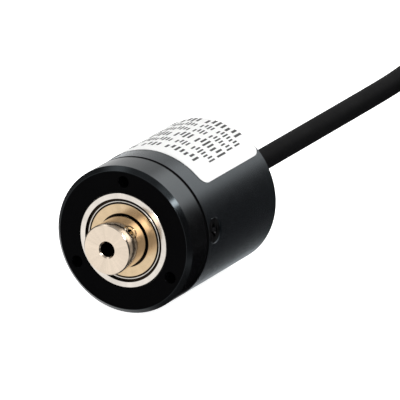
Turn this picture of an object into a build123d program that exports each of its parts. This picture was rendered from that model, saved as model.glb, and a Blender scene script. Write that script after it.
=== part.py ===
from build123d import *
import os
from math import cos, degrees, pi, radians, sin, tan

# A miniature rotary encoder with a blind hollow shaft. It lies on its side: the shaft's axis runs along Y at
# half the body's height, the shaft points to -Y and the cable leaves to +Y. Z is up, and z = 0 is the surface
# that it lies on. Stations are distances along the axis from the flange's front face, towards the rear.
# Angles turn about the axis from +X towards +Z. Millimetres and degrees.

# ---- driving dimensions ----
BODY_R = 10.0
BODY_LENGTH = 23.7
FLANGE_LENGTH = 4.8
WALL = 1.2
REAR_WALL = 1.6
FRONT_CHAMFER = 0.57
REAR_CHAMFER = 0.25
JOINT_CHAMFER = 0.14
SLIP_GAP = 0.03
PRESS_GAP = 0.01

HUB_R = 3.42
HUB_REACH = 4.4
SHAFT_BORE_R = 1.0
SHAFT_BORE_DEPTH = 6.5
SET_SCREW_R = 0.97
SET_SCREW_POINT_R = 0.6
SET_SCREW_SEAT = 1.75
SET_SCREW_STATION = -2.35
SET_SCREW_ANGLES = (43.0, 133.0)

BEARING_BORE_R = 2.5
BEARING_OUTER_R = 6.5
BEARING_WIDTH = 4.0
WASHER_SPACE = 0.4
WEB = 1.2
BALL_R = 1.07
BALLS = 8
RUNNING_GAP = 0.07

MOUNTING_HOLE_R = 0.8
MOUNTING_HOLE_CIRCLE_R = 8.0
MOUNTING_HOLE_DEPTH = 3.5
MOUNTING_HOLE_ANGLES = (90.0, 210.0, 330.0)

SIDE_SCREW_HEAD_R = 1.55
SIDE_SCREW_R = 0.8
SIDE_SCREW_LENGTH = 3.0
SIDE_SCREW_STATION = 6.75
SIDE_SCREW_ANGLES = (5.7, 125.7, 245.7)

LABEL_FRONT = 8.0
LABEL_REAR = 23.3
LABEL_FROM = 40.4
LABEL_SPAN = 103.0
LABEL_CORNER = 1.4
LABEL_THICKNESS = 0.08

CABLE_R = 1.5
GROMMET_LIP = 0.9
HANK_X = 8.0
HANK_NEAR_Y = 84.0
HANK_RUN = 26.0
HANK_INNER_R = 9.0
HANK_TURNS_ACROSS = 2
HANK_LAYERS = 4

# ---- stations and places worked out from them ----
FRONT_Y = -(BODY_LENGTH + GROMMET_LIP - HUB_REACH) / 2
AXIS_Z = BODY_R
IN_PLACE = Pos(0, FRONT_Y, AXIS_Z)
INNER_R = BODY_R - WALL
REAR_WALL_FRONT = BODY_LENGTH - REAR_WALL
GROMMET_END = BODY_LENGTH + GROMMET_LIP
WEB_FRONT = BEARING_WIDTH
WEB_REAR = WEB_FRONT + WEB
REAR_BEARING = WEB_REAR + WASHER_SPACE
SPIGOT_END = REAR_BEARING + BEARING_WIDTH

TURNED_END_R = 2.0
DISC_R = 6.45
DISC_HUB_R = 3.2
DISC_FRONT = SPIGOT_END + 2.4
DISC_THICKNESS = 0.25
DISC_REAR = DISC_FRONT + DISC_THICKNESS
TRACK_R = 5.7
SLITS = 100
CLAMP_RING_THICKNESS = 0.5
SHAFT_END = DISC_REAR + CLAMP_RING_THICKNESS + 0.15

BOARD_R = 8.5
BOARD_THICKNESS = 0.8
SENSOR_BOARD = SPIGOT_END + 4.1
SIGNAL_BOARD = SENSOR_BOARD + BOARD_THICKNESS + 2.2
SIGNAL_BOARD_REAR = SIGNAL_BOARD + BOARD_THICKNESS
PILLAR_R = 0.95
PILLAR_CIRCLE_R = 7.75
PILLAR_ANGLES = (30.0, 150.0, 270.0)
BOARD_SCREW_R = 0.5
LED_R = 0.9
LED_HOLDER_REAR = SPIGOT_END + 1.7
JACKET_END = SIGNAL_BOARD_REAR + 2.5
CORE_R = 0.3
CORES = 5
HANK_OUTER_R = HANK_INNER_R + (2 * HANK_TURNS_ACROSS - 1) * CABLE_R
HANK_HOLE_R = HANK_INNER_R - CABLE_R
HANK_HEIGHT = HANK_LAYERS * 2 * CABLE_R
HANK_MIDDLE_Y = HANK_NEAR_Y + HANK_RUN / 2


# ---- general shapes ----
def turned(*profile):
    """A solid of revolution about the shaft's axis, from (radius, station) points."""
    return revolve(make_face(Polyline(*profile, close=True)), Axis.Y)


def ring(outer_r, inner_r, front, rear, chamfer_outer=0.0):
    """A turned ring between two stations, with both outer edges chamfered."""
    c = chamfer_outer
    if c == 0:
        return turned((inner_r, front), (outer_r, front), (outer_r, rear), (inner_r, rear))
    return turned(
        (inner_r, front),
        (outer_r - c, front),
        (outer_r, front + c),
        (outer_r, rear - c),
        (outer_r - c, rear),
        (inner_r, rear),
    )


def at_angle(angle):
    return Rot(0, -angle, 0)


def radial(angle, radius, station):
    """A place on the axis's radius at an angle, with local Z pointing outwards."""
    return at_angle(angle) * Pos(radius, station, 0) * Rot(0, 90, 0)


def axial(angle, radius, station):
    """A place beside the axis, with local Z pointing to the rear."""
    return at_angle(angle) * Pos(radius, station, 0) * Rot(-90, 0, 0)


def pin(radius, length):
    """A cylinder that stands on local z = 0."""
    return Cylinder(radius, length, align=(Align.CENTER, Align.CENTER, Align.MIN))


def block(width, depth, height):
    """A box that stands on local z = 0."""
    return Box(width, depth, height, align=(Align.CENTER, Align.CENTER, Align.MIN))


def cross_recess(size, depth):
    """The cross-shaped recess of a screw, down from local z = 0."""
    arm = size * 0.28
    tapered = Cone(size * 0.12, size * 0.3, depth)
    slots = Box(size, arm, depth * 0.7) + Box(arm, size, depth * 0.7)
    return Pos(0, 0, -depth * 0.35) * slots + Pos(0, 0, -depth / 2) * tapered


def rod_between(a, b, radius):
    """A straight round rod from point a to point b."""
    line = Line(a, b)
    return sweep(Plane(origin=a, z_dir=line % 0) * Circle(radius), path=line)


def group(shapes):
    """Separate solids that make one sub-part."""
    return Compound([s for shape in shapes for s in shape.solids()])


def moved(place, piece):
    """The sub-part at its place, solid by solid."""
    solids = [place * s for s in piece.solids()]
    return solids[0] if len(solids) == 1 else Compound(solids)


# ---- casing ----
def front_flange():
    face_r = BODY_R - FRONT_CHAMFER
    spigot_r = INNER_R - SLIP_GAP
    pocket_r = BEARING_OUTER_R + PRESS_GAP
    web_r = pocket_r - 0.8
    body = turned(
        (pocket_r, 0),
        (face_r, 0),
        (BODY_R, FRONT_CHAMFER),
        (BODY_R, FLANGE_LENGTH - JOINT_CHAMFER),
        (BODY_R - JOINT_CHAMFER, FLANGE_LENGTH),
        (spigot_r, FLANGE_LENGTH),
        (spigot_r, SPIGOT_END - 0.2),
        (spigot_r - 0.2, SPIGOT_END),
        (pocket_r, SPIGOT_END),
        (pocket_r, WEB_REAR),
        (web_r, WEB_REAR),
        (web_r, WEB_FRONT),
        (pocket_r, WEB_FRONT),
    )
    for angle in MOUNTING_HOLE_ANGLES:
        mouth = axial(angle, MOUNTING_HOLE_CIRCLE_R, 0)
        body -= mouth * pin(MOUNTING_HOLE_R, MOUNTING_HOLE_DEPTH)
        body -= mouth * Cone(MOUNTING_HOLE_R + 0.25, MOUNTING_HOLE_R - 0.15, 0.4)
    for angle in SIDE_SCREW_ANGLES:
        body -= radial(angle, spigot_r - 2.1, SIDE_SCREW_STATION) * pin(SIDE_SCREW_R + 0.02, 3.0)
    for angle in PILLAR_ANGLES:
        body -= axial(angle, PILLAR_CIRCLE_R, SPIGOT_END - 1.2) * pin(BOARD_SCREW_R, 1.3)
    return body


def housing():
    hole_r = 2.62
    shell = turned(
        (INNER_R, FLANGE_LENGTH),
        (BODY_R - JOINT_CHAMFER, FLANGE_LENGTH),
        (BODY_R, FLANGE_LENGTH + JOINT_CHAMFER),
        (BODY_R, BODY_LENGTH - REAR_CHAMFER),
        (BODY_R - REAR_CHAMFER, BODY_LENGTH),
        (hole_r, BODY_LENGTH),
        (hole_r, REAR_WALL_FRONT),
        (INNER_R, REAR_WALL_FRONT),
    )
    sink_r = SIDE_SCREW_HEAD_R + 0.2
    for angle in SIDE_SCREW_ANGLES:
        inside = radial(angle, INNER_R - 0.5, SIDE_SCREW_STATION)
        shell -= inside * pin(SIDE_SCREW_R + 0.06, WALL + 1.0)
        sink = Cone(SIDE_SCREW_R + 0.06, sink_r, 0.95, align=(Align.CENTER, Align.CENTER, Align.MIN))
        sink += Pos(0, 0, 0.95) * pin(sink_r, 0.3)
        shell -= radial(angle, BODY_R - 1.08, SIDE_SCREW_STATION) * sink
    return shell


def side_screw():
    """A countersunk screw along local Z, its head's top at z = 0."""
    r = SIDE_SCREW_R
    head_depth = SIDE_SCREW_HEAD_R - r
    profile = make_face(
        Polyline(
            (0, 0),
            (SIDE_SCREW_HEAD_R, 0),
            (SIDE_SCREW_HEAD_R, -0.12),
            (r, -0.12 - head_depth),
            (r, 0.25 - SIDE_SCREW_LENGTH),
            (r - 0.25, -SIDE_SCREW_LENGTH),
            (0, -SIDE_SCREW_LENGTH),
            close=True,
        )
    )
    screw = revolve(Plane.XZ * profile, Axis.Z)
    return screw - cross_recess(1.7, 0.75)


def side_screws():
    top_r = BODY_R - 0.17
    return group(radial(a, top_r, SIDE_SCREW_STATION) * side_screw() for a in SIDE_SCREW_ANGLES)


def label():
    """A thin sheet wrapped round the housing, with rounded corners."""
    band = ring(BODY_R + LABEL_THICKNESS, BODY_R, LABEL_FRONT, LABEL_REAR)
    reach = 2 * BODY_R
    start = at_angle(LABEL_FROM + LABEL_SPAN / 2)
    half = radians(LABEL_SPAN / 2)
    wedge = make_face(
        Polyline((0, 0), (reach, -reach * tan(half)), (reach, reach * tan(half)), close=True)
    )
    wedge = extrude(Plane.XZ * wedge, -BODY_LENGTH - 1)
    sheet = band & (start * wedge)
    c = LABEL_CORNER
    side = degrees(c / BODY_R)
    for angle, across in ((LABEL_FROM + side, 1), (LABEL_FROM + LABEL_SPAN - side, -1)):
        for station, along in ((LABEL_FRONT + c, -1), (LABEL_REAR - c, 1)):
            square = Pos(across * c, along * c, 0) * block(2 * c, 2 * c, 2)
            sheet -= radial(angle, BODY_R - 1, station) * (square - pin(c, 2))
    return sheet


# ---- rotor ----
def shaft():
    front = -HUB_REACH
    journal_r = BEARING_BORE_R - PRESS_GAP
    bore_end = front + SHAFT_BORE_DEPTH
    tip = SHAFT_BORE_R * tan(radians(31))
    body = turned(
        (SHAFT_BORE_R + 0.18, front),
        (HUB_R - 0.15, front),
        (HUB_R, front + 0.15),
        (HUB_R, 0),
        (journal_r, 0),
        (journal_r, SPIGOT_END),
        (TURNED_END_R, SPIGOT_END),
        (TURNED_END_R, SHAFT_END - 0.15),
        (TURNED_END_R - 0.15, SHAFT_END),
        (0, SHAFT_END),
        (0, bore_end + tip),
        (SHAFT_BORE_R, bore_end),
        (SHAFT_BORE_R, front + 0.18),
    )
    for angle in SET_SCREW_ANGLES:
        body -= radial(angle, SET_SCREW_SEAT, SET_SCREW_STATION) * pin(SET_SCREW_R + SLIP_GAP, HUB_R)
        body -= radial(angle, 0.5, SET_SCREW_STATION) * pin(SET_SCREW_POINT_R + SLIP_GAP, HUB_R)
    return body


def set_screws():
    """Headless screws with a hexagon socket, a little below the hub's surface."""
    screws = []
    length = HUB_R - 0.12 - SET_SCREW_SEAT
    point = SET_SCREW_SEAT - SHAFT_BORE_R - 0.08
    for angle in SET_SCREW_ANGLES:
        place = radial(angle, SET_SCREW_SEAT, SET_SCREW_STATION)
        body = chamfer(pin(SET_SCREW_R, length).edges(), 0.14)
        body += Pos(0, 0, -point) * pin(SET_SCREW_POINT_R, point)
        socket = extrude(RegularPolygon(0.45, 6, major_radius=False), 1.0)
        screws.append(place * (body - Pos(0, 0, length - 0.9) * socket))
    return group(screws)


def disc_hub():
    bore_r = TURNED_END_R + PRESS_GAP
    return turned(
        (bore_r, SPIGOT_END),
        (DISC_HUB_R, SPIGOT_END),
        (DISC_HUB_R, DISC_FRONT - 0.8),
        (DISC_HUB_R + 0.8, DISC_FRONT - 0.8),
        (DISC_HUB_R + 0.8, DISC_FRONT),
        (bore_r, DISC_FRONT),
    )


def code_disc():
    """A thin disc with one ring of slits, and a single index slit inside it."""
    disc = ring(DISC_R, TURNED_END_R + PRESS_GAP, DISC_FRONT, DISC_REAR)
    slit_width = pi * TRACK_R / SLITS
    slit = block(0.8, slit_width, 1.0)
    index = block(0.35, slit_width, 1.0)
    before = DISC_FRONT - 0.3
    cuts = [axial(i * 360 / SLITS, TRACK_R, before) * slit for i in range(SLITS)]
    cuts.append(axial(0, TRACK_R - 0.85, before) * index)
    return disc - cuts


def clamp_ring():
    return ring(DISC_HUB_R + 0.2, TURNED_END_R + PRESS_GAP, DISC_REAR, DISC_REAR + CLAMP_RING_THICKNESS, 0.1)


# ---- ball bearings ----
PITCH_R = (BEARING_BORE_R + BEARING_OUTER_R) / 2
MID = BEARING_WIDTH / 2
GROOVE_R = BALL_R + RUNNING_GAP
OUTER_LAND_R = 5.4
INNER_LAND_R = 3.6
SHIELD_SEAT_R = 5.65
SHIELD_SEAT_DEPTH = 0.5
SHIELD_BORE_R = 3.62


def both_ends(piece):
    """The piece at the bearing's front, and its mirror image at the rear."""
    return [piece, mirror(piece, Plane.XZ.offset(-MID))]


def raceway():
    return revolve(Pos(PITCH_R, MID) * Circle(GROOVE_R), Axis.Y)


def outer_race():
    c = 0.15
    w = BEARING_WIDTH
    race = turned(
        (SHIELD_SEAT_R, 0),
        (BEARING_OUTER_R - c, 0),
        (BEARING_OUTER_R, c),
        (BEARING_OUTER_R, w - c),
        (BEARING_OUTER_R - c, w),
        (SHIELD_SEAT_R, w),
        (SHIELD_SEAT_R, w - SHIELD_SEAT_DEPTH),
        (OUTER_LAND_R, w - SHIELD_SEAT_DEPTH),
        (OUTER_LAND_R, SHIELD_SEAT_DEPTH),
        (SHIELD_SEAT_R, SHIELD_SEAT_DEPTH),
    )
    return race - raceway()


def inner_race():
    face_r = 3.35
    w = BEARING_WIDTH
    race = turned(
        (BEARING_BORE_R, 0),
        (face_r, 0),
        (face_r, SHIELD_SEAT_DEPTH),
        (INNER_LAND_R, SHIELD_SEAT_DEPTH),
        (INNER_LAND_R, w - SHIELD_SEAT_DEPTH),
        (face_r, w - SHIELD_SEAT_DEPTH),
        (face_r, w),
        (BEARING_BORE_R, w),
    )
    return race - raceway()


def balls():
    return group(axial(i * 360 / BALLS, PITCH_R, MID) * Sphere(BALL_R) for i in range(BALLS))


def ball_cage():
    """A crown cage: a thin ring behind the balls, with a pocket for each."""
    crown = ring(PITCH_R + 0.4, PITCH_R - 0.4, MID - 0.4, BEARING_WIDTH - 0.6)
    pockets = [axial(i * 360 / BALLS, PITCH_R, MID) * Sphere(BALL_R + 0.05) for i in range(BALLS)]
    return crown - pockets


def shields():
    """Pressed shields: a low rim in the outer race's seat, and a raised flat middle."""
    step_r = 4.95
    rim = SHIELD_SEAT_DEPTH - 0.12
    shield = turned(
        (SHIELD_BORE_R, 0.16),
        (step_r, 0.16),
        (step_r + 0.03, rim),
        (SHIELD_SEAT_R - PRESS_GAP, rim),
        (SHIELD_SEAT_R - PRESS_GAP, SHIELD_SEAT_DEPTH),
        (step_r - 0.11, SHIELD_SEAT_DEPTH),
        (step_r - 0.14, 0.3),
        (SHIELD_BORE_R, 0.3),
    )
    return group(both_ends(shield))


def snap_wires():
    """Split rings of round wire that hold the shields."""
    wire_r = 0.12
    station = SHIELD_SEAT_DEPTH - 0.12 - wire_r
    wire = revolve(Pos(5.22, station) * Circle(wire_r), Axis.Y, revolution_arc=346)
    return group(both_ends(at_angle(200) * wire))


def preload_washer():
    """A bowed spring washer between the flange's web and the rear bearing."""
    thickness = 0.15
    outer_r = BEARING_OUTER_R - 0.15
    rise = WASHER_SPACE - thickness
    bow_r = (outer_r**2 + rise**2) / (2 * rise)
    arc = ThreePointArc((-outer_r, 0), (0, rise), (outer_r, 0))
    upper = ThreePointArc((-outer_r, thickness), (0, rise + thickness), (outer_r, thickness))
    edges = [arc, Line(arc @ 1, upper @ 1), upper, Line(upper @ 0, arc @ 0)]
    strip = extrude(make_face(edges), bow_r, both=True)
    blank = ring(outer_r, outer_r - 0.6, 0, WASHER_SPACE)
    return Pos(0, WEB_REAR, 0) * (strip & blank)


# ---- electronics ----
def led_holder():
    holder = axial(90, 6.4, SPIGOT_END) * block(3.6, 5.0, LED_HOLDER_REAR - SPIGOT_END)
    return holder - axial(90, TRACK_R, SPIGOT_END + 0.3) * pin(LED_R, 2.0)


def led_emitter():
    straight = LED_HOLDER_REAR - SPIGOT_END - 0.3
    dome = (Pos(0, 0, straight - 0.55) * Sphere(LED_R)) & block(2, 2, straight + 0.3)
    return axial(90, TRACK_R, SPIGOT_END + 0.3) * (pin(LED_R, straight) + dome)


def led_legs():
    length = SENSOR_BOARD - LED_HOLDER_REAR
    return group(axial(90, 7.6, LED_HOLDER_REAR) * Pos(0, y, 0) * pin(0.2, length) for y in (-1.0, 1.0))


def mask_plate():
    """A thin glass plate with the fixed slits, close behind the code disc."""
    chip_front = SENSOR_BOARD - 0.95
    return axial(90, 6.1, chip_front - 0.2) * block(2.4, 4.0, 0.2)


def sensor_chip():
    return axial(90, 6.0, SENSOR_BOARD - 0.95) * block(2.8, 4.2, 0.95)


def round_board(front):
    board = ring(BOARD_R, 0.8, front, front + BOARD_THICKNESS)
    for angle in PILLAR_ANGLES:
        board -= axial(angle, PILLAR_CIRCLE_R, front - 0.1) * pin(BOARD_SCREW_R + 0.05, 1.0)
    return board


def pillars(front, rear):
    tube = pin(PILLAR_R, rear - front) - pin(BOARD_SCREW_R + PRESS_GAP, rear - front)
    return group(axial(a, PILLAR_CIRCLE_R, front) * tube for a in PILLAR_ANGLES)


def board_screws():
    length = SIGNAL_BOARD_REAR - SPIGOT_END + 1.0
    screw = Pos(0, 0, -length) * pin(BOARD_SCREW_R, length)
    head = chamfer(pin(1.0, 0.6).faces().sort_by(Axis.Z)[-1].edges(), 0.2)
    screw = screw + (head - Pos(0, 0, 0.6) * cross_recess(1.1, 0.4))
    return group(axial(a, PILLAR_CIRCLE_R, SIGNAL_BOARD_REAR) * screw for a in PILLAR_ANGLES)


PIN_PITCH = 1.27
PINS = 6
PIN_ROW = axial(270, 5.2, SENSOR_BOARD + BOARD_THICKNESS)


def pin_places():
    return [Pos(0, (i - (PINS - 1) / 2) * PIN_PITCH, 0) for i in range(PINS)]


def pin_header():
    header = block(1.6, PINS * PIN_PITCH, 1.4)
    return PIN_ROW * (header - [p * block(0.3, 0.3, 2.0) for p in pin_places()])


def board_pins():
    length = SIGNAL_BOARD - SENSOR_BOARD - BOARD_THICKNESS
    return group(PIN_ROW * p * block(0.3, 0.3, length) for p in pin_places())


def packaged_chip(length, width, height, legs):
    """A moulded chip on local z = 0 with bent legs along both long sides."""
    body = Pos(0, 0, 0.1) * chamfer(block(length, width, height - 0.1).edges().group_by(Axis.Z)[-1], 0.12)
    pitch = length / legs
    leg = block(0.3, 0.5, 0.12) + Pos(0, -0.2, 0) * block(0.3, 0.12, height / 2)
    chip = [body]
    for i in range(legs):
        x = (i + 0.5) * pitch - length / 2
        for side in (0, 180):
            chip.append(Rot(0, 0, side) * Pos(x, width / 2 + 0.26, 0) * leg)
    return group(chip)


def on_signal_board(x, z):
    """A place on the rear of the signal board, with local Z pointing to the rear."""
    return Pos(x, SIGNAL_BOARD_REAR, z) * Rot(-90, 0, 0)


def signal_chip():
    return group([on_signal_board(-2.6, 2.2) * packaged_chip(4.4, 3.4, 1.2, 7)])


def regulator_chip():
    return group([on_signal_board(3.4, 2.6) * packaged_chip(2.6, 1.8, 1.0, 3)])


def board_capacitors():
    places = ((3.2, -0.4), (5.4, 0.6), (-5.6, -1.6))
    return group(on_signal_board(x, z) * block(1.6, 0.9, 0.8) for x, z in places)


def board_resistors():
    places = ((-4.0, -3.6), (-4.0, -4.9), (4.0, -3.6), (4.0, -4.9), (0.4, 5.6), (1.6, 4.0))
    return group(on_signal_board(x, z) * block(1.2, 0.6, 0.4) for x, z in places)


# ---- cable entry ----
def cable_grommet():
    bore_r = CABLE_R + PRESS_GAP
    return turned(
        (bore_r, REAR_WALL_FRONT - 0.6),
        (3.4, REAR_WALL_FRONT - 0.6),
        (3.4, REAR_WALL_FRONT),
        (2.6, REAR_WALL_FRONT),
        (2.6, BODY_LENGTH),
        (3.05, BODY_LENGTH),
        (3.05, BODY_LENGTH + 0.3),
        (2.2, GROMMET_END),
        (bore_r, GROMMET_END),
    )


def cable_clamp():
    rear = REAR_WALL_FRONT - 0.6
    return ring(2.5, CABLE_R + PRESS_GAP, rear - 1.3, rear, 0.15)


def cable_entry():
    """The cable's jacket where it passes through the grommet and the clamp."""
    return turned((0, JACKET_END), (CABLE_R, JACKET_END), (CABLE_R, GROMMET_END), (0, GROMMET_END))


def cable_cores():
    """The insulated cores from the end of the jacket to the signal board."""
    turns = [radians(90 + i * 360 / CORES) for i in range(CORES)]
    starts = [(0.9 * cos(t), JACKET_END, 0.9 * sin(t)) for t in turns]
    ends = [((i - (CORES - 1) / 2) * 1.1, SIGNAL_BOARD_REAR, -2.6) for i in range(CORES)]
    # Both are taken from left to right, so that no core crosses another.
    return group(rod_between(a, b, CORE_R) for a, b in zip(sorted(starts), ends))


# ---- free cable, in the model's own frame ----
EXIT = (0.0, FRONT_Y + GROMMET_END, AXIS_Z)
CABLE_ROUTE = [
    EXIT,
    (0.0, 34.0, 10.0),
    (0.05, 52.0, 10.0),
    (-0.3, 67.0, 10.15),
    (-3.6, 82.0, 10.5),
]
TAIL_ROUTE = [
    (18.0, 111.0, 13.3),
    (18.5, 104.0, 13.3),
    (18.6, 97.5, 13.3),
    (18.4, 92.0, 13.3),
]
TIE_WIDTH = 3.5
TIE_THICKNESS = 0.4
LEAD_SPACING = 0.62
LEAD_LENGTHS = (15.0, 17.0, 16.0, 18.0, 15.5)


def corner_radii(points):
    """Each arc is as large as its two runs allow: 0.45 of the shorter run over tan of half the turn."""
    radii = []
    for a, b, c in zip(points, points[1:], points[2:]):
        before, after = Vector(*b) - Vector(*a), Vector(*c) - Vector(*b)
        half_turn = radians(before.get_angle(after)) / 2
        radii.append(0.45 * min(before.length, after.length) / tan(half_turn))
    return radii


def tube(name, route):
    """A stretch of the cable that isn't wound, as straight runs joined by tangent arcs."""
    radii = corner_radii(route)
    path = FilletPolyline(*route, radius=radii)
    solid = sweep(Plane(origin=path @ 0, z_dir=path % 0) * Circle(CABLE_R), path=path)
    ratio = solid.volume / (pi * CABLE_R**2 * path.length)
    print(name, "arc radii", [round(r, 1) for r in radii])
    print(name, "length", round(path.length, 1), "volume over section times length", round(ratio, 4))
    return solid


def oval(end_r, height):
    """A straight-sided oval block that stands on the floor, with the hank's runs as its sides."""
    ends = Pos(0, -HANK_RUN / 2, 0) * pin(end_r, height) + Pos(0, HANK_RUN / 2, 0) * pin(end_r, height)
    return Pos(HANK_X, HANK_MIDDLE_Y, 0) * (ends + block(2 * end_r, HANK_RUN, height))


def cable_hank():
    """The outer shape of the folded length: an oval ring, let in where the tie passes under it."""
    ring_solid = oval(HANK_OUTER_R, HANK_HEIGHT) - oval(HANK_HOLE_R, HANK_HEIGHT)
    return ring_solid - cable_tie()


def tie_outline(reach):
    """The tie's outline across the hank's middle, this far outside the cable: it rises over the cable's end."""
    side = HANK_OUTER_R + reach
    top = HANK_HEIGHT + reach
    tail_x = TAIL_ROUTE[1][0] - HANK_X
    tail_top = TAIL_ROUTE[1][2] + CABLE_R + reach
    points = [
        (-side, TIE_THICKNESS - reach),
        (-side, top),
        (tail_x - 3 * CABLE_R, top),
        (tail_x - CABLE_R, tail_top),
        (tail_x + CABLE_R, tail_top),
        (side, top),
        (side, TIE_THICKNESS - reach),
    ]
    return make_face(Polyline(*points, close=True))


def cable_tie():
    """A flat band once round the middle of the hank."""
    face = tie_outline(TIE_THICKNESS) - tie_outline(0)
    band = extrude(Plane.XZ * face, TIE_WIDTH / 2, both=True)
    return Pos(HANK_X, HANK_MIDDLE_Y, 0) * band


def cable_leads():
    """The stripped end: the cores fan out from the end of the jacket and lie on the hank's turns."""
    end = Vector(*TAIL_ROUTE[-1])
    heading = Vector(-0.25, -1, 0).normalized()
    across = Vector(-heading.Y, heading.X, 0)
    leads = []
    for i, length in enumerate(LEAD_LENGTHS):
        side = i - (CORES - 1) / 2
        start = end + across * (side * LEAD_SPACING)
        middle = start + heading * (length / 2) + across * (side * 0.3)
        tip = start + heading * length + across * (side * 1.2)
        middle.Z = HANK_HEIGHT + CORE_R + 0.3
        tip.Z = HANK_HEIGHT + CORE_R
        path = ThreePointArc(start, middle, tip)
        leads.append(sweep(Plane(origin=path @ 0, z_dir=path % 0) * Circle(CORE_R), path=path))
    return group(leads)


# ---- every sub-part, by node ----
def on_axis(piece):
    return moved(IN_PLACE, piece)


parts = {
    "front_flange": on_axis(front_flange()),
    "housing": on_axis(housing()),
    "side_screws": on_axis(side_screws()),
    "label": on_axis(label()),
    "shaft": on_axis(shaft()),
    "set_screws": on_axis(set_screws()),
    "disc_hub": on_axis(disc_hub()),
    "code_disc": on_axis(code_disc()),
    "disc_clamp_ring": on_axis(clamp_ring()),
    "preload_washer": on_axis(preload_washer()),
    "led_holder": on_axis(led_holder()),
    "led_emitter": on_axis(led_emitter()),
    "led_legs": on_axis(led_legs()),
    "mask_plate": on_axis(mask_plate()),
    "sensor_chip": on_axis(sensor_chip()),
    "sensor_board": on_axis(round_board(SENSOR_BOARD)),
    "board_standoffs": on_axis(pillars(SPIGOT_END, SENSOR_BOARD)),
    "board_spacers": on_axis(pillars(SENSOR_BOARD + BOARD_THICKNESS, SIGNAL_BOARD)),
    "board_screws": on_axis(board_screws()),
    "pin_header": on_axis(pin_header()),
    "board_pins": on_axis(board_pins()),
    "signal_board": on_axis(round_board(SIGNAL_BOARD)),
    "signal_chip": on_axis(signal_chip()),
    "regulator_chip": on_axis(regulator_chip()),
    "board_capacitors": on_axis(board_capacitors()),
    "board_resistors": on_axis(board_resistors()),
    "cable_grommet": on_axis(cable_grommet()),
    "cable_clamp": on_axis(cable_clamp()),
    "cable_entry": on_axis(cable_entry()),
    "cable_cores": on_axis(cable_cores()),
    "cable": tube("cable", CABLE_ROUTE),
    "cable_tail": tube("cable_tail", TAIL_ROUTE),
    "cable_hank": cable_hank(),
    "cable_tie": cable_tie(),
    "cable_leads": cable_leads(),
}
for bearing, station in (("front", 0.0), ("rear", REAR_BEARING)):
    here = IN_PLACE * Pos(0, station, 0)
    parts[f"{bearing}_bearing_outer_race"] = moved(here, outer_race())
    parts[f"{bearing}_bearing_inner_race"] = moved(here, inner_race())
    parts[f"{bearing}_bearing_balls"] = moved(here, balls())
    parts[f"{bearing}_bearing_cage"] = moved(here, ball_cage())
    parts[f"{bearing}_bearing_shields"] = moved(here, shields())
    parts[f"{bearing}_bearing_snap_wires"] = moved(here, snap_wires())

os.makedirs("parts", exist_ok=True)
for node, shape in parts.items():
    export_step(shape, f"parts/{node}.step")
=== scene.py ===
"""A miniature rotary encoder, lying on its side on a white table, with its spare cable folded up behind it.

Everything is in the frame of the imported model, in metres. Lengths below are written in millimetres times MM.
The shaft's axis runs along +Y. A station is a distance along it from the flange's front face, and an angle
turns about it from +X towards +Z.
"""

from math import atan2, cos, degrees, exp, pi, radians, sin

import bmesh
import bpy
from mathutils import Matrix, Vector


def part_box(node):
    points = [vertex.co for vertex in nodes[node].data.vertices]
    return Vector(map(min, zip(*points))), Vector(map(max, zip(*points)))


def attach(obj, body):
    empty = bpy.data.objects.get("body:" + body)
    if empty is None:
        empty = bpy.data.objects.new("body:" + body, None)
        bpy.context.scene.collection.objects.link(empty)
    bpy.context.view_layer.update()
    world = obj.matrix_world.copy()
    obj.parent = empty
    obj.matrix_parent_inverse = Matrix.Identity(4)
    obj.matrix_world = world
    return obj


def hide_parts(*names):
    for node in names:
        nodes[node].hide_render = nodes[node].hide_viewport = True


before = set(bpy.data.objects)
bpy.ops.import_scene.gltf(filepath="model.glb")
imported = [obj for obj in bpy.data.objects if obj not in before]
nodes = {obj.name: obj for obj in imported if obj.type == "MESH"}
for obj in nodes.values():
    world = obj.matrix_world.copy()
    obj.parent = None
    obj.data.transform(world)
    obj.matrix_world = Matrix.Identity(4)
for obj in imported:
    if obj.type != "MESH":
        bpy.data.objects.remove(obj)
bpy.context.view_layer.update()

MM = 0.001

# ---- places taken from the frame ----
flange_low, flange_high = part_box("front_flange")
housing_low, housing_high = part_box("housing")
hank_low, hank_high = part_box("cable_hank")
FRONT_Y = flange_low.y
AXIS_Z = (housing_low.z + housing_high.z) / 2
BODY_R = (housing_high.z - housing_low.z) / 2
FACE_CENTRE = Vector((0, FRONT_Y, AXIS_Z))


def at(angle, radius, station):
    """The point at an angle and radius about the shaft's axis, at a station; degrees and metres."""
    a = radians(angle)
    return Vector((radius * cos(a), FRONT_Y + station, AXIS_Z + radius * sin(a)))


# ---- camera ----
# It stands far back with a long lens, so the view is nearly free of perspective.
VIEW_AZIMUTH = radians(28.54)
VIEW_ELEVATION = radians(18.40)
VIEW_DISTANCE = 1170.6 * MM
VIEW_LENS = 810.0
SENSOR = 36.0
AIM = FACE_CENTRE + Vector((7.764, 6.628, 4.849)) * MM


def make_camera():
    """The camera in front of the object on the right, looking down at it."""
    back = Vector(
        (
            sin(VIEW_AZIMUTH) * cos(VIEW_ELEVATION),
            -cos(VIEW_AZIMUTH) * cos(VIEW_ELEVATION),
            sin(VIEW_ELEVATION),
        )
    )
    data = bpy.data.cameras.new("camera")
    data.lens = VIEW_LENS
    data.sensor_width = SENSOR
    data.clip_start = 0.1
    data.clip_end = 20.0
    camera = bpy.data.objects.new("camera", data)
    bpy.context.scene.collection.objects.link(camera)
    camera.location = AIM + back * VIEW_DISTANCE
    camera.rotation_mode = "QUATERNION"
    camera.rotation_quaternion = (-back).to_track_quat("-Z", "Y")
    bpy.context.scene.camera = camera


make_camera()


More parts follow.
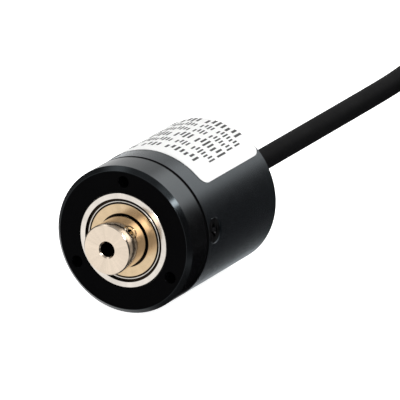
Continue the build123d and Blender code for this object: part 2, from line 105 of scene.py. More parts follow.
# ---- materials ----
# Patterns are worked out about the shaft's axis: along it, round it and out from it. Their sizes are plain
# millimetres, a noise's scale is per millimetre, and colours are linear.
CHAMFER_R = 9.43  # the inner edge of the flange's chamfer
JOINT = 4.8  # the station of the joint between flange and housing
# The dull dark edges at the joint are painted shade, standing for the shadow in the groove between flange and
# housing.
JOINT_SHADE_BEFORE = 0.42  # how far the dull dark edge reaches from the joint, on the flange
JOINT_SHADE_AFTER = 0.24  # and on the housing
DULL_FADE = 0.08  # the width over which a dull area starts
# The housing's rear rim is painted lighter: wear, and a painted highlight along its edge.
REAR_EDGE = 23.5  # the station where the housing's rear chamfer starts
REAR_EDGE_R = 9.6  # the radius that its worn rim starts at
# The bore, the outer race inside its step and the shield outside its bright band are dark with grease and
# painted shade, for the shade in the bore and in the bearing's recesses.
BORE_R = 1.03  # inside it the shaft is dark
RACE_STEP_R = 5.68  # inside it the outer race is dark
SHIELD_BRIGHT_R = (3.68, 4.9)  # between them the shield is bright
OUTSIDE_ALL = 9.0  # a radius beyond every bearing piece
GREASE_AND_SHADE_FADE = 0.03  # the width over which the dark starts

DULL_BLACK = (0.0012, 0.0012, 0.0014)
# the dark of grease and painted shade
GREASE_AND_SHADE = (0.03, 0.02, 0.012)
BRIGHT_STEEL = (0.94, 0.87, 0.79)
WARM_STEEL = (0.93, 0.79, 0.64)
SHIELD_TAN = (0.86, 0.65, 0.41)
GREY_STEEL = (0.62, 0.62, 0.62)


class Finish:
    """A material in the making. Its methods add nodes and return their outputs."""

    def __init__(self, name):
        self.material = bpy.data.materials.new(name)
        self.material.use_nodes = True
        self.tree = self.material.node_tree
        self.shader = self.tree.nodes["Principled BSDF"]
        place = self.add("ShaderNodeTexCoord").outputs["Object"]
        place = self.vector("SUBTRACT", place, tuple(FACE_CENTRE))
        self.place = self.vector("SCALE", place, scale=1 / MM)
        split = self.add("ShaderNodeSeparateXYZ", {0: self.place})
        self.station = split.outputs["Y"]
        self.across = split.outputs["X"]
        self.up = split.outputs["Z"]
        self.radius = self.math("SQRT", self.math("ADD", self.square(self.across), self.square(self.up)))
        self.angle = self.math("ARCTAN2", self.up, self.across)

    def add(self, kind, inputs=None, **settings):
        """Adds a node. An input is a plain value or another node's output."""
        node = self.tree.nodes.new(kind)
        for key, value in settings.items():
            setattr(node, key, value)
        for key, value in (inputs or {}).items():
            if isinstance(value, bpy.types.NodeSocket):
                self.tree.links.new(value, node.inputs[key])
            else:
                node.inputs[key].default_value = value
        return node

    def math(self, operation, *values):
        return self.add("ShaderNodeMath", dict(enumerate(values)), operation=operation).outputs[0]

    def vector(self, operation, *values, scale=None):
        inputs = dict(enumerate(values))
        if scale is not None:
            inputs["Scale"] = scale
        return self.add("ShaderNodeVectorMath", inputs, operation=operation).outputs[0]

    def square(self, value):
        return self.math("MULTIPLY", value, value)

    def join(self, x, y, z):
        return self.add("ShaderNodeCombineXYZ", {0: x, 1: y, 2: z}).outputs[0]

    def noise(self, scale, vector=None, detail=3.0, rough=0.55):
        vector = self.place if vector is None else vector
        inputs = {"Vector": vector, "Scale": scale, "Detail": detail, "Roughness": rough}
        return self.add("ShaderNodeTexNoise", inputs).outputs["Fac"]

    def cells(self, scale):
        return self.add("ShaderNodeTexVoronoi", {"Vector": self.place, "Scale": scale}).outputs["Distance"]

    def spread(self, value, low, high, start=0.0, end=1.0):
        """The value's range from low to high, taken smoothly to start and end, and held there outside it."""
        inputs = {"Value": value, "From Min": low, "From Max": high, "To Min": start, "To Max": end}
        return self.add("ShaderNodeMapRange", inputs, interpolation_type="SMOOTHSTEP").outputs["Result"]

    def mix(self, share, a, b):
        """Colour a where the share is 0, and colour b where it is 1."""
        node = self.add("ShaderNodeMix", data_type="RGBA")
        colours = [(*value, 1.0) if isinstance(value, tuple) else value for value in (a, b)]
        # The node's colour sockets are its inputs 6 and 7, and output 2.
        for number, value in ((0, share), (6, colours[0]), (7, colours[1])):
            if isinstance(value, bpy.types.NodeSocket):
                self.tree.links.new(value, node.inputs[number])
            else:
                node.inputs[number].default_value = value
        return node.outputs[2]

    def bump(self, height, depth, base=None):
        """A bump of that depth in millimetres, on top of another one's normal."""
        inputs = {"Height": height, "Distance": depth * MM, "Strength": 1.0}
        if base is not None:
            inputs["Normal"] = base
        return self.add("ShaderNodeBump", inputs).outputs["Normal"]

    def set(self, **values):
        """Sets the shader's own sockets, with _ for a space."""
        for key, value in values.items():
            socket = self.shader.inputs[key.replace("_", " ")]
            if isinstance(value, bpy.types.NodeSocket):
                self.tree.links.new(value, socket)
            elif isinstance(value, tuple):
                socket.default_value = (*value, 1.0)
            else:
                socket.default_value = value
        return self

    def dull_black_and_shade_where(self, share):
        """Deep dull black over the finish, by a share that changes from 0 to 1: a black face's own dull black,
        and painted shade in a groove.
        """
        inputs = {
            "Base Color": (*DULL_BLACK, 1.0),
            "Specular IOR Level": 0.02,
            "Roughness": self.spread(self.noise(0.35, detail=4.0), 0.3, 0.7, 0.5, 0.6),
            "Normal": self.bump(self.rings(5.0), 0.004),
        }
        dull = self.add("ShaderNodeBsdfPrincipled", inputs)
        joined = self.add("ShaderNodeMixShader", {0: share, 1: self.shader.outputs[0], 2: dull.outputs[0]})
        self.tree.links.new(joined.outputs[0], self.tree.nodes["Material Output"].inputs["Surface"])

    def rings(self, per_mm):
        """Fine turned rings: noise that changes along the axis and outwards, and hardly round it."""
        round_about = self.math("DIVIDE", self.math("MULTIPLY", self.angle, 0.35), per_mm)
        return self.noise(per_mm, self.join(self.radius, self.station, round_about), detail=2.0)


def turned_black(name, gloss):
    """Gloss black on turned aluminium. Its front face is dull and deep black, and the edge at the joint has
    painted shade in the same dull black, for the groove's shadow.
    """
    f = Finish(name)
    rings = f.rings(7.0)
    cloud = f.noise(0.35, detail=4.0)
    in_front = f.spread(f.station, 0.02, 0.1, 1.0, 0.0)
    in_rim = f.spread(f.radius, CHAMFER_R - DULL_FADE, CHAMFER_R, 1.0, 0.0)
    # painted shade: dull black along the joint, for the groove's shadow
    joint_shade = f.spread(f.station, JOINT - JOINT_SHADE_BEFORE, JOINT - JOINT_SHADE_BEFORE + DULL_FADE)
    worn = f.spread(f.noise(2.2, detail=6.0, rough=0.7), 0.66, 0.78)
    f.set(
        Base_Color=f.mix(worn, (0.0022, 0.0022, 0.0026), (0.012, 0.012, 0.013)),
        Roughness=f.spread(cloud, 0.3, 0.7, gloss, gloss + 0.06),
        Specular_IOR_Level=0.5,
        Specular_Tint=(0.8, 0.93, 1.0),
        Normal=f.bump(rings, 0.0009),
    )
    f.dull_black_and_shade_where(f.math("MAXIMUM", f.math("MULTIPLY", in_front, in_rim), joint_shade))
    return f.material


def slate(name):
    """Satin hard-anodised shell: blue-black, with an even texture and faint turned lines. Its rear rim is
    painted lighter, as wear and as a painted highlight along its edge, and painted shade darkens its edge at
    the joint.
    """
    f = Finish(name)
    grain = f.noise(9.0, detail=5.0, rough=0.65)
    cloud = f.noise(0.25, detail=4.0)
    lines = f.rings(4.0)
    rub = f.spread(f.noise(1.3, detail=6.0, rough=0.7), 0.68, 0.8)
    base = f.mix(cloud, (0.0018, 0.0024, 0.0032), (0.0034, 0.0042, 0.0054))
    base = f.mix(rub, base, (0.010, 0.012, 0.014))
    # painted highlight with wear: the rear rim is lighter all round, for the thin bright line along its edge
    at_rear = f.spread(f.station, REAR_EDGE, REAR_EDGE + 0.05)
    edge = f.math("MULTIPLY", at_rear, f.spread(f.radius, REAR_EDGE_R, REAR_EDGE_R + 0.1))
    # painted shade: dull black on the housing's edge by the joint, for the groove's shadow
    joint_shade_end = JOINT + JOINT_SHADE_AFTER
    f.dull_black_and_shade_where(f.spread(f.station, joint_shade_end - DULL_FADE, joint_shade_end, 1.0, 0.0))
    f.set(
        Base_Color=f.mix(edge, base, (0.3, 0.31, 0.33)),
        Roughness=f.spread(f.noise(0.7, detail=3.0), 0.3, 0.7, 0.2, 0.25),
        Specular_IOR_Level=0.5,
        Specular_Tint=(0.76, 0.91, 1.0),
        Sheen_Weight=0.6,
        Sheen_Roughness=0.22,
        Sheen_Tint=(0.88, 0.95, 1.0),
        Normal=f.bump(grain, 0.0018, f.bump(lines, 0.0014)),
    )
    return f.material


def metal(name, colour, gloss, ring_depth=0.0008, per_mm=9.0, dark=0.82, fan=0.0, stretch=0.0, bright=None):
    """Turned or pressed metal: fine rings, faint wedges of painted sheen about the axis, and cloudy wear.

    There are per_mm rings to the millimetre. The wear and the painted sheen darken the colour down to dark of
    it, and fan is the wedges' share of that. stretch draws reflections out round the axis. With bright, two
    radii, the metal inside the first and outside the second is dark with grease and painted shade.
    """
    f = Finish(name)
    rings = f.rings(per_mm)
    cloud = f.noise(0.8, detail=5.0, rough=0.6)
    direction = f.join(f.math("COSINE", f.angle), f.math("SINE", f.angle), 0.0)
    # painted sheen: lighter and darker wedges round the axis, for the radial highlights of a turned face
    wedges = f.noise(2.3, direction, detail=3.0)
    wear_and_sheen = f.math("ADD", f.math("MULTIPLY", wedges, fan), f.math("MULTIPLY", cloud, 1.0 - fan))
    base = f.mix(f.spread(wear_and_sheen, 0.3, 0.7), tuple(c * dark for c in colour), colour)
    rough = f.spread(rings, 0.25, 0.75, gloss * 0.8, gloss * 1.3)
    if bright:
        inner_r, outer_r = bright
        # painted shade with grease: dark inside and outside the bright band
        inside = f.spread(f.radius, inner_r - GREASE_AND_SHADE_FADE, inner_r, 1.0, 0.0)
        outside = f.spread(f.radius, outer_r, outer_r + GREASE_AND_SHADE_FADE)
        grease_and_shade_share = f.math("MAXIMUM", inside, outside)
        base = f.mix(grease_and_shade_share, base, GREASE_AND_SHADE)
        rough = f.math("MAXIMUM", rough, f.math("MULTIPLY", grease_and_shade_share, 0.5))
    f.set(Base_Color=base, Metallic=1.0, Roughness=rough, Normal=f.bump(rings, ring_depth))
    if stretch:
        tangent = f.add("ShaderNodeTangent", direction_type="RADIAL", axis="Y")
        f.set(Anisotropic=stretch, Tangent=tangent.outputs[0])
    return f.material


def plastic(name, colour, gloss, grain=6.0, depth=0.004):
    """Moulded or extruded plastic: a fine grain, slow changes of shade and small scuffs."""
    f = Finish(name)
    cloud = f.noise(0.5, detail=4.0)
    scuff = f.spread(f.noise(3.0, detail=7.0, rough=0.72), 0.66, 0.8)
    light = tuple(min(1.0, c * 1.25 + 0.002) for c in colour)
    worn = tuple(min(1.0, c * 1.6 + 0.006) for c in colour)
    f.set(
        Base_Color=f.mix(scuff, f.mix(cloud, colour, light), worn),
        Roughness=f.spread(cloud, 0.3, 0.7, gloss, gloss + 0.1),
        Specular_IOR_Level=0.5,
        Normal=f.bump(f.noise(grain, detail=4.0), depth),
    )
    return f.material


def cable_vinyl(name):
    """Matt extruded vinyl, with a fine grain, a little dust, and a slight ripple from the cores."""
    f = Finish(name)
    cloud = f.noise(0.3, detail=4.0)
    dust = f.spread(f.noise(4.0, detail=6.0, rough=0.7), 0.62, 0.8)
    fine = f.noise(14.0, detail=3.0)
    ripple = f.noise(0.55, detail=2.0)
    black = f.mix(cloud, (0.0026, 0.0026, 0.0029), (0.0042, 0.0042, 0.0046))
    f.set(
        Base_Color=f.mix(dust, black, (0.009, 0.009, 0.0095)),
        Roughness=f.spread(cloud, 0.3, 0.7, 0.6, 0.68),
        Specular_IOR_Level=0.05,
        Normal=f.bump(fine, 0.004, f.bump(ripple, 0.04)),
    )
    return f.material


def label_film(name):
    """White printed film: almost plain, with a paper-fine tooth and a few yellowed specks."""
    f = Finish(name)
    cloud = f.noise(0.4, detail=3.0)
    specks = f.spread(f.cells(3.5), 0.0, 0.05, 1.0, 0.0)
    white = f.mix(cloud, (0.86, 0.86, 0.85), (0.9, 0.9, 0.89))
    f.set(
        Base_Color=f.mix(specks, white, (0.78, 0.77, 0.74)),
        Roughness=f.spread(cloud, 0.3, 0.7, 0.34, 0.42),
        Specular_IOR_Level=0.45,
        Normal=f.bump(f.noise(10.0, detail=3.0), 0.002),
    )
    return f.material


def ink(name):
    """Black label print, slightly uneven where the film's tooth shows through."""
    f = Finish(name)
    thin = f.spread(f.noise(12.0, detail=4.0), 0.55, 0.75)
    f.set(
        Base_Color=f.mix(thin, (0.012, 0.012, 0.013), (0.06, 0.06, 0.06)),
        Roughness=f.spread(f.noise(4.0), 0.3, 0.7, 0.38, 0.5),
        Normal=f.bump(f.noise(10.0), 0.001),
    )
    return f.material


def circuit_board(name):
    """Green solder mask over woven glass, with copper tracks showing faintly through it."""
    f = Finish(name)
    warp, weft = (f.math("SINE", f.math("MULTIPLY", along, 25.0)) for along in (f.across, f.up))
    weave = f.math("MULTIPLY", warp, weft)
    wander = f.math("MULTIPLY", f.noise(0.5), 9.0)
    stripes = f.math("SINE", f.math("ADD", f.math("MULTIPLY", f.across, 5.2), wander))
    tracks = f.spread(f.math("ABSOLUTE", stripes), 0.86, 0.94)
    f.set(
        Base_Color=f.mix(tracks, (0.012, 0.13, 0.045), (0.03, 0.24, 0.08)),
        Roughness=f.spread(f.noise(1.2), 0.3, 0.7, 0.22, 0.32),
        Normal=f.bump(weave, 0.003, f.bump(tracks, 0.02)),
    )
    return f.material


def clear_part(name, tint, gloss, slits=False):
    """Clear resin or glass, with chromium slits round it where it is the mask."""
    f = Finish(name)
    haze = f.spread(f.noise(1.5, detail=5.0), 0.4, 0.8)
    colour = f.mix(haze, tint, tuple(c * 0.9 for c in tint))
    if slits:
        stripes = f.spread(f.math("SINE", f.math("MULTIPLY", f.angle, 200.0)), -0.2, 0.2)
        colour = f.mix(stripes, colour, (0.18, 0.19, 0.2))
    f.set(
        Base_Color=colour,
        Roughness=f.spread(haze, 0.0, 1.0, gloss, gloss + 0.08),
        IOR=1.5,
        Transmission_Weight=0.85,
        Normal=f.bump(f.noise(1.0), 0.004),
    )
    return f.material


def core_colours(name):
    """The cores inside, coloured by the quarter round the axis that they lie in."""
    f = Finish(name)
    right = f.spread(f.across, -0.1, 0.1)
    lower = f.mix(right, (0.16, 0.06, 0.025), (0.03, 0.2, 0.05))
    upper = f.mix(right, (0.6, 0.45, 0.05), (0.55, 0.54, 0.5))
    f.set(
        Base_Color=f.mix(f.spread(f.up, -0.1, 0.1), lower, upper),
        Roughness=f.spread(f.noise(2.0), 0.3, 0.7, 0.4, 0.5),
        Normal=f.bump(f.noise(6.0), 0.003),
    )
    return f.material


finishes = {
    "flange_black": turned_black("flange_black_lacquer", 0.13),
    "housing_slate": slate("housing_slate_satin"),
    "screw_black": metal(
        "screw_black_oxide", (0.42, 0.42, 0.44), 0.14, ring_depth=0.012, per_mm=3.0, dark=0.12
    ),
    "label_white": label_film("label_white_film"),
    "spring_steel": metal("spring_steel_bright", (0.9, 0.86, 0.8), 0.16, per_mm=12.0),
    "moulded_black": plastic("moulded_black_nylon", (0.018, 0.018, 0.019), 0.45),
    "led_clear": clear_part("led_clear_resin", (0.9, 0.93, 0.97), 0.05),
    "tinned_pin": metal("tinned_pin_metal", (0.78, 0.78, 0.76), 0.3, per_mm=6.0),
    "mask_glass": clear_part("mask_glass_slits", (0.92, 0.95, 0.97), 0.03, slits=True),
    "chip_black": plastic("chip_black_epoxy", (0.014, 0.014, 0.016), 0.5, grain=12.0, depth=0.006),
    "board_green": circuit_board("board_green_mask"),
    "brass": metal("brass_turned", (0.78, 0.58, 0.27), 0.24, per_mm=8.0),
    "screw_steel": metal("screw_zinc", (0.68, 0.68, 0.7), 0.3, per_mm=6.0),
    "capacitor_tan": plastic("capacitor_tan_ceramic", (0.42, 0.29, 0.16), 0.4, grain=10.0),
    "resistor_dark": plastic("resistor_dark_film", (0.03, 0.03, 0.036), 0.35, grain=10.0),
    "grommet_rubber": plastic("grommet_rubber_matt", (0.010, 0.010, 0.011), 0.6, grain=5.0, depth=0.008),
    "cable_jacket": cable_vinyl("cable_vinyl_matt"),
    "core_insulation": core_colours("core_insulation_set"),
    "tie_black": plastic("tie_black_nylon", (0.016, 0.016, 0.017), 0.38, grain=8.0),
    "shaft_steel": metal(
        "shaft_steel_turned",
        WARM_STEEL,
        0.15,
        ring_depth=0.0012,
        per_mm=6.0,
        dark=0.86,
        fan=0.75,
        stretch=0.55,
        bright=(BORE_R, OUTSIDE_ALL),
    ),
    "set_screw_dark": metal(
        "set_screw_blackened", (0.85, 0.74, 0.58), 0.09, ring_depth=0.012, per_mm=3.0, dark=0.2
    ),
    "hub_aluminium": metal("hub_aluminium_turned", (0.8, 0.8, 0.82), 0.24, per_mm=5.0),
    "disc_steel": metal("disc_steel_etched", GREY_STEEL, 0.26, per_mm=10.0),
    "bearing_steel": metal(
        "bearing_steel_ground",
        BRIGHT_STEEL,
        0.14,
        ring_depth=0.0006,
        per_mm=8.0,
        dark=0.8,
        fan=0.7,
        stretch=0.6,
        bright=(RACE_STEP_R, OUTSIDE_ALL),
    ),
    "ball_steel": metal(
        "ball_steel_polished", (0.86, 0.86, 0.87), 0.06, ring_depth=0.0002, per_mm=4.0, dark=0.94
    ),
    "cage_plastic": plastic("cage_nylon", (0.5, 0.44, 0.31), 0.42, grain=7.0),
    "shield_steel": metal(
        "shield_steel_pressed",
        SHIELD_TAN,
        0.2,
        ring_depth=0.0006,
        per_mm=8.0,
        dark=0.8,
        fan=0.7,
        stretch=0.5,
        bright=SHIELD_BRIGHT_R,
    ),
}
core_finishes = {
    "brown": plastic("core_brown", (0.12, 0.045, 0.02), 0.4),
    "white": plastic("core_white", (0.7, 0.69, 0.65), 0.4),
    "green": plastic("core_green", (0.03, 0.2, 0.06), 0.4),
    "yellow": plastic("core_yellow", (0.62, 0.45, 0.05), 0.4),
    "grey": plastic("core_grey", (0.22, 0.22, 0.23), 0.4),
}
label_ink = ink("label_ink_black")


def dress_nodes():
    """Gives every CAD node the finish of its own material slot."""
    for node in nodes.values():
        for material_slot in node.material_slots:
            material_slot.material = finishes[material_slot.material.name]


# ---- cable ----
# Its spare length is a hank: laps of two straight runs and two folds, laid in an outer and an inner coil.
CABLE_D = 3.0 * MM
CABLE_EXIT = Vector((0.0, 14.5, 10.0)) * MM
HANK_X = (hank_low.x + hank_high.x) / 2
HANK_RUN = 26.0 * MM
HANK_NEAR_Y = (hank_low.y + hank_high.y - HANK_RUN) / 2
OUTER_R = 12.3 * MM
INNER_R = 9.3 * MM
FLOOR_LAYER = CABLE_D / 2
TOP_LAYER = FLOOR_LAYER + 3 * CABLE_D
LAST_LAYER = TOP_LAYER + 2.6 * MM
STEPS_PER_LAP = 36
FIRST_LAP = 0.06
LAST_LAP = 7.6525
CHANGE_LENGTH = 0.14  # how much of a lap it takes to change layer or coil
TUBE_STEPS = 6  # a tube's fineness, along it and round it
TIE_Y = HANK_NEAR_Y + HANK_RUN / 2
TIE_THICKNESS = 0.4 * MM
TIE_WIDTH = 3.5 * MM
TIE_REACH = 6 * MM  # how far from the tie the cable rises to let it pass below

# The points of the cable's route before the hank: out of the grommet, and straight back along the axis.
ROUTE_IN = [
    CABLE_EXIT,
    Vector((0.0, 34.0, 10.0)) * MM,
    Vector((0.0, 52.0, 10.0)) * MM,
    Vector((0.0, 66.5, 10.05)) * MM,
    Vector((-0.5, 74.0, 10.2)) * MM,
    Vector((-2.9, 83.0, 10.45)) * MM,
]
# Where the hank changes layer or coil: after how many laps, and the new height and fold radius.
# It winds down the outside, steps in on the table, and winds up the inside.
CHANGES = [
    (0.79, TOP_LAYER - CABLE_D, OUTER_R),
    (1.79, TOP_LAYER - 2 * CABLE_D, OUTER_R),
    (2.79, FLOOR_LAYER, OUTER_R),
    (3.56, FLOOR_LAYER, INNER_R),
    (4.40, FLOOR_LAYER + CABLE_D, INNER_R),
    (5.40, FLOOR_LAYER + 2 * CABLE_D, INNER_R),
    (6.40, TOP_LAYER, INNER_R),
    (7.24, LAST_LAYER, (OUTER_R + INNER_R) / 2),
]


def smooth_step(t):
    """0 up to t = 0, 1 from t = 1, and a smooth step between them."""
    t = min(1.0, max(0.0, t))
    return t * t * (3 - 2 * t)


def hank_cell(lap):
    """The height and fold radius of the hank at a lap."""
    height, radius = TOP_LAYER, OUTER_R
    for start, next_height, next_radius in CHANGES:
        share = smooth_step((lap - start) / CHANGE_LENGTH)
        height += share * (next_height - height)
        radius += share * (next_radius - radius)
    return height, radius


def hank_point(lap):
    """A point of the hank: up the left run, round the far end, down the right run and round the near end."""
    height, radius = hank_cell(lap)
    fold = pi * radius
    along = (lap % 1.0) * 2 * (HANK_RUN + fold)
    if along < HANK_RUN:
        x, y = -radius, along
    elif along < HANK_RUN + fold:
        a = pi - (along - HANK_RUN) / radius
        x, y = radius * cos(a), HANK_RUN + radius * sin(a)
    elif along < 2 * HANK_RUN + fold:
        x, y = radius, 2 * HANK_RUN + fold - along
    else:
        a = -(along - 2 * HANK_RUN - fold) / radius
        x, y = radius * cos(a), radius * sin(a)
    lift = TIE_THICKNESS * exp(-(((y + HANK_NEAR_Y - TIE_Y) / TIE_REACH) ** 2))
    return Vector((HANK_X + x, HANK_NEAR_Y + y, height + lift))


def hank_route():
    """Points at even steps from the hank's first lap to its last."""
    laps = LAST_LAP - FIRST_LAP
    steps = round(laps * STEPS_PER_LAP)
    return [hank_point(FIRST_LAP + laps * i / steps) for i in range(steps + 1)]


def nurbs(name, points, radius, material):
    """A round tube along one open NURBS spline."""
    data = bpy.data.curves.new(name, "CURVE")
    data.dimensions = "3D"
    data.bevel_depth = radius
    data.bevel_resolution = TUBE_STEPS
    data.use_fill_caps = True
    data.materials.append(material)
    spline = data.splines.new("NURBS")
    spline.points.add(len(points) - 1)
    for point, place in zip(spline.points, points):
        point.co = (*place, 1.0)
    spline.order_u = 3
    spline.use_endpoint_u = True
    spline.resolution_u = TUBE_STEPS
    piece = bpy.data.objects.new(name, data)
    bpy.context.scene.collection.objects.link(piece)
    return piece


cable = nurbs("cable_line", ROUTE_IN + hank_route(), CABLE_D / 2, finishes["cable_jacket"])
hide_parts("cable", "cable_hank", "cable_tail")
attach(cable, "casing")


# ---- pieces on the cable ----
TIE_HEAD_SIZE = Vector((5.6, 5.0, 2.6)) * MM
TIE_HEAD_CORNER = 0.5 * MM
TIE_HEAD_ASIDE = 7.0 * MM
TIE_HEAD_RISE = 1.1 * MM
TIE_HEAD_TILT = -0.11  # radians
TIE_SLOT_DEPTH = 0.5 * MM
TIE_SLOT_EDGE = 0.6 * MM
CORE_R = 0.3 * MM
STRAND_R = 0.17 * MM
CORE_GAP = 0.62 * MM
BARE_TIP = 2.5 * MM
LEADS_START = Vector((18.5, 93.0, 13.3)) * MM
LEADS_HEADING = Vector((-0.25, -1.0, 0.0)).normalized()
LEAD_DROP = 1.0 * MM
LEAD_LENGTHS = (15.0 * MM, 17.0 * MM, 16.0 * MM, 18.0 * MM, 15.5 * MM)
CORE_NAMES = ("brown", "white", "green", "yellow", "grey")


def mesh_piece(name, mesh, material, smooth=True):
    """An object of that mesh, in that material."""
    mesh.materials.append(material)
    for polygon in mesh.polygons:
        polygon.use_smooth = smooth
    piece = bpy.data.objects.new(name, mesh)
    bpy.context.scene.collection.objects.link(piece)
    return piece


def make_mesh(name, vertices, faces, material, smooth=True):
    mesh = bpy.data.meshes.new(name)
    mesh.from_pydata(vertices, [], faces)
    return mesh_piece(name, mesh, material, smooth)


def outward(a, b):
    """The unit normal, on the outer side, of a step from a to b in a loop that turns from +X to +Z."""
    step = (b - a).normalized()
    return Vector((step.y, -step.x))


def band_path(centres, radius):
    """Points and outward normals of a band pulled tight round equal circles, given in loop order."""
    path = []
    count = len(centres)
    corner_steps = 8
    for i, centre in enumerate(centres):
        before = outward(centres[i - 1], centre)
        after = outward(centre, centres[(i + 1) % count])
        first = atan2(before.y, before.x)
        turn = (atan2(after.y, after.x) - first) % (2 * pi)
        for k in range(corner_steps + 1):
            a = first + turn * k / corner_steps
            normal = Vector((cos(a), sin(a)))
            path.append((centre + normal * radius, normal))
    return path


def tie_section():
    """The tie's section, as (across its width, out from its middle): a flat band with two ribs along it."""
    half, thick = TIE_WIDTH / 2, TIE_THICKNESS / 2
    top = [(0.94, 0.3), (0.86, 0.5), (0.62, 0.5), (0.56, 1.0), (0.40, 1.0), (0.34, 0.5)]
    right = [(1.0, -0.7), (1.0, 0.0)] + top
    left = [(-x, y) for x, y in reversed(right)]
    return [(x * half, y * thick) for x, y in right + left]


def make_band(material):
    """The tie's band round the hank, over the cable's runs at its corners and the last run on top."""
    left, right = HANK_X - OUTER_R, HANK_X + OUTER_R
    bottom, top = FLOOR_LAYER + TIE_THICKNESS, TOP_LAYER + TIE_THICKNESS
    last_run = (HANK_X + (OUTER_R + INNER_R) / 2, LAST_LAYER + TIE_THICKNESS)
    corners = [(left, bottom), (right, bottom), (right, top), last_run, (left, top)]
    path = band_path([Vector(corner) for corner in corners], (CABLE_D + TIE_THICKNESS) / 2)
    section = tie_section()
    vertices = []
    for place, normal in path:
        for across, out in section:
            spot = place + normal * out
            vertices.append((spot.x, TIE_Y + across, spot.y))
    faces = []
    rings, sides = len(path), len(section)
    for i in range(rings):
        here, there = i * sides, (i + 1) % rings * sides
        for j in range(sides):
            k = (j + 1) % sides
            faces.append((here + j, here + k, there + k, there + j))
    return make_mesh("tie_band", vertices, faces, material)


def make_tie(material):
    """The tie: its band, and its head on top of the hank."""
    band = make_band(material)
    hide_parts("cable_tie")
    head = rounded_block("tie_head", TIE_HEAD_SIZE, TIE_HEAD_CORNER, material)
    head.location = (HANK_X - TIE_HEAD_ASIDE, TIE_Y, TOP_LAYER + TIE_THICKNESS + CABLE_D / 2 + TIE_HEAD_RISE)
    head.rotation_euler = (0, TIE_HEAD_TILT, 0)
    for piece in (band, head):
        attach(piece, "casing")
    return band, head


def rounded_block(name, size, corner, material):
    """A block with rounded edges and a shallow recess in its top, as the head of a tie."""
    body = bmesh.new()
    bmesh.ops.create_cube(body, size=1.0)
    bmesh.ops.scale(body, vec=size, verts=body.verts)
    bmesh.ops.bevel(body, geom=body.edges[:], offset=corner, segments=3, profile=0.6, affect="EDGES")
    top = max(body.faces, key=lambda face: face.calc_center_median().z)
    bmesh.ops.inset_region(body, faces=[top], thickness=TIE_SLOT_EDGE, depth=0)
    bmesh.ops.translate(body, vec=(0, 0, -TIE_SLOT_DEPTH), verts=top.verts)
    mesh = bpy.data.meshes.new(name)
    body.to_mesh(mesh)
    body.free()
    return mesh_piece(name, mesh, material)


def make_leads(insulation, strand):
    """Five stripped cores that fan out over the hank from the cable's end, each with a bare tip."""
    up = Vector((0, 0, 1))
    side = LEADS_HEADING.cross(up)
    pieces = []
    for i, (length, core) in enumerate(zip(LEAD_LENGTHS, CORE_NAMES)):
        offset = i - (len(LEAD_LENGTHS) - 1) / 2
        spread = side * offset * CORE_GAP
        start = LEADS_START + side * offset * CORE_R
        middle = LEADS_START + LEADS_HEADING * length / 2 + spread - up * 0.7 * LEAD_DROP
        tip = LEADS_START + LEADS_HEADING * length + spread * 2 - up * LEAD_DROP
        last_half = tip - middle
        bare_start = tip - last_half.normalized() * BARE_TIP
        covered = [start, middle, tip - last_half * 0.3, bare_start]
        jacket = nurbs("lead_" + core, covered, CORE_R, insulation[core])
        bare = nurbs("strand_" + core, [bare_start - last_half * 0.1, bare_start, tip], STRAND_R, strand)
        for piece, slot_name in ((jacket, "core_insulation"), (bare, "tinned_pin")):
            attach(piece, "casing")
            pieces.append(piece)
    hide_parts("cable_leads")
    return pieces


# ---- label print ----
LABEL_THICKNESS = 0.08 * MM
LABEL_R = BODY_R + LABEL_THICKNESS
LABEL_EDGE_ANGLE = 40.4
PRINT_HEIGHT = 0.018 * MM
# Each printed row, in millimetres: its first and last station, its first and last distance from the label's
# near edge, and the stroke's width.
PRINT_ROWS = [
    (10.0, 11.5, 3.5, 14.2, 0.34),
    (12.4, 13.9, 2.2, 15.6, 0.24),
    (14.7, 16.8, 2.2, 13.4, 0.30),
    (17.5, 18.9, 2.35, 15.2, 0.24),
    (19.6, 20.9, 2.35, 12.6, 0.24),
    (21.4, 23.1, 3.45, 14.6, 0.36),
]
MARKS_PER_WORD = (7, 4, 9, 6)
# How much of the row's height is left off a stroke at its two ends, in turn.
STROKE_GAPS = ((0.0, 0.0), (0.28, 0.0), (0.0, 0.3), (0.12, 0.12))
STROKE_PITCH = 2.1  # from one stroke to the next, in stroke widths
WORD_GAP = 1.9  # and what a new word adds to it


def printed_bar(vertices, faces, low, high, start, end):
    """Adds one thin bar of print on the label: stations low to high, and distances from its near edge."""
    base = len(vertices)
    for out in (-PRINT_HEIGHT, PRINT_HEIGHT):
        for station in (low, high):
            for distance in (start, end):
                angle = LABEL_EDGE_ANGLE + degrees(distance * MM / LABEL_R)
                vertices.append(at(angle, LABEL_R + out, station * MM))
    for side in ((4, 6, 7, 5), (0, 1, 3, 2), (0, 4, 5, 1), (2, 3, 7, 6), (0, 2, 6, 4), (1, 5, 7, 3)):
        faces.append(tuple(base + i for i in side))


def print_row(vertices, faces, low, high, start, end, stroke):
    """A row of plain strokes, grouped like words, that stands for the label's text and spells nothing."""
    place, mark, word = start, 0, 0
    height = high - low
    while place + stroke < end:
        first, last = STROKE_GAPS[(mark * 5 + word * 3) % len(STROKE_GAPS)]
        printed_bar(vertices, faces, low + height * first, high - height * last, place, place + stroke)
        place += stroke * STROKE_PITCH
        mark += 1
        if mark == MARKS_PER_WORD[word % len(MARKS_PER_WORD)]:
            place += stroke * WORD_GAP
            mark, word = 0, word + 1


def make_print():
    """The label's print, as one piece."""
    vertices, faces = [], []
    for row in PRINT_ROWS:
        print_row(vertices, faces, *row)
    marks = make_mesh("label_print", vertices, faces, label_ink, smooth=False)
    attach(marks, "casing")


dress_nodes()
tie_pieces = make_tie(finishes["tie_black"])
lead_pieces = make_leads(core_finishes, finishes["tinned_pin"])
make_print()


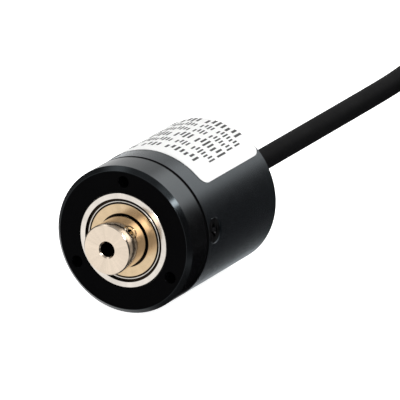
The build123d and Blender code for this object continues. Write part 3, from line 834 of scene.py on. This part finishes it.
# ---- stage and light ----
# The studio is painted on the world, round the object, and there are no lamps. Each part of it has a place as
# (azimuth, elevation), the angles that it is full within and ends at, all in degrees, and a strength.
ROOM_LEVEL = 0.45
WALLS = [
    ((200, -20), 8, 42, 0.5),  # a card low in front
    ((-20, 10), 60, 100, 0.45),  # the wall behind
    ((0, 90), 15, 52, 1.4),  # the ceiling
    ((17, 31), 4, 25, 1.2),  # the soft box behind on the right
]
# Parts without light, which take their strength away as a share of what is there.
DARK_PARTS = [
    ((116, 2), 20, 34, 0.9),  # on the right, towards the front
    ((120, -68), 18, 40, 0.85),  # far below on the right
    ((190, 60), 14, 30, 0.8),  # high in front
    ((-88, 5), 28, 46, 0.85),  # on the left
    ((60, -8), 27, 45, 1.0),  # on the right, towards the back
    ((4, -26), 20, 30, 1.0),  # low behind
]
FRONT_LIGHTS = [
    ((158, 22), 5, 22, 1.6),  # the soft box in front
    ((132, 35), 2, 5, 16.0),  # a small strong light
]
FLOOR_HALF = 3.0
FLOOR_DROP = 0.02 * MM
FLOOR_WHITE = (0.9, 0.9, 0.9, 1.0)
FLOOR_ROUGHNESS = 0.9
FLOOR_GLOW = 0.95


def heading(azimuth, elevation):
    """The unit direction at an azimuth from +Y towards +X, and an elevation, in degrees."""
    a, e = radians(azimuth), radians(elevation)
    return Vector((sin(a) * cos(e), cos(a) * cos(e), sin(e)))


def lobe(tree, direction, centre, inner, outer):
    """1 within inner degrees of the centre, falling smoothly to 0 at outer degrees."""
    dot = tree.nodes.new("ShaderNodeVectorMath")
    dot.operation = "DOT_PRODUCT"
    dot.inputs[1].default_value = centre
    tree.links.new(direction, dot.inputs[0])
    ramp = tree.nodes.new("ShaderNodeMapRange")
    ramp.interpolation_type = "SMOOTHSTEP"
    ramp.inputs["From Min"].default_value = cos(radians(outer))
    ramp.inputs["From Max"].default_value = cos(radians(inner))
    tree.links.new(dot.outputs["Value"], ramp.inputs["Value"])
    return ramp.outputs["Result"]


def combine(tree, operation, a, b, c=None):
    """One step of sums on the world's brightness; its values are plain or other steps' outputs."""
    node = tree.nodes.new("ShaderNodeMath")
    node.operation = operation
    for i, value in enumerate((a, b, c)):
        if isinstance(value, bpy.types.NodeSocket):
            tree.links.new(value, node.inputs[i])
        elif value is not None:
            node.inputs[i].default_value = value
    return node.outputs[0]


def add_lights(tree, direction, room, lights):
    """Adds lights to the room's brightness, each by its strength."""
    for place, inner, outer, strength in lights:
        light = lobe(tree, direction, heading(*place), inner, outer)
        room = combine(tree, "MULTIPLY_ADD", light, strength, room)
    return room


def make_world():
    """The studio: walls and soft boxes, then what is dark, then the lights in front."""
    world = bpy.data.worlds.new("studio")
    bpy.context.scene.world = world
    world.use_nodes = True
    tree = world.node_tree
    direction = tree.nodes.new("ShaderNodeTexCoord").outputs["Generated"]
    room = add_lights(tree, direction, ROOM_LEVEL, WALLS)
    for place, inner, outer, strength in DARK_PARTS:
        dark = lobe(tree, direction, heading(*place), inner, outer)
        room = combine(tree, "MULTIPLY", room, combine(tree, "MULTIPLY_ADD", dark, -strength, 1.0))
    room = add_lights(tree, direction, room, FRONT_LIGHTS)
    background = tree.nodes["Background"]
    tree.links.new(room, background.inputs["Strength"])
    background.inputs["Color"].default_value = (1, 1, 1, 1)


def make_floor():
    """A plain white table. Glossy surfaces mirror the studio's painted lower half instead of it."""
    mesh = bpy.data.meshes.new("floor")
    corners = [(x * FLOOR_HALF, y * FLOOR_HALF, 0) for x, y in ((-1, -1), (1, -1), (1, 1), (-1, 1))]
    mesh.from_pydata(corners, [], [(0, 1, 2, 3)])
    floor = bpy.data.objects.new("floor", mesh)
    bpy.context.scene.collection.objects.link(floor)
    floor.visible_glossy = False
    floor.location.z = -FLOOR_DROP
    white = bpy.data.materials.new("floor_white")
    white.use_nodes = True
    shader = white.node_tree.nodes["Principled BSDF"]
    shader.inputs["Base Color"].default_value = FLOOR_WHITE
    shader.inputs["Roughness"].default_value = FLOOR_ROUGHNESS
    shader.inputs["Emission Color"].default_value = (1, 1, 1, 1)
    shader.inputs["Emission Strength"].default_value = FLOOR_GLOW
    mesh.materials.append(white)


make_world()
make_floor()
bpy.context.scene.view_settings.view_transform = "Standard"
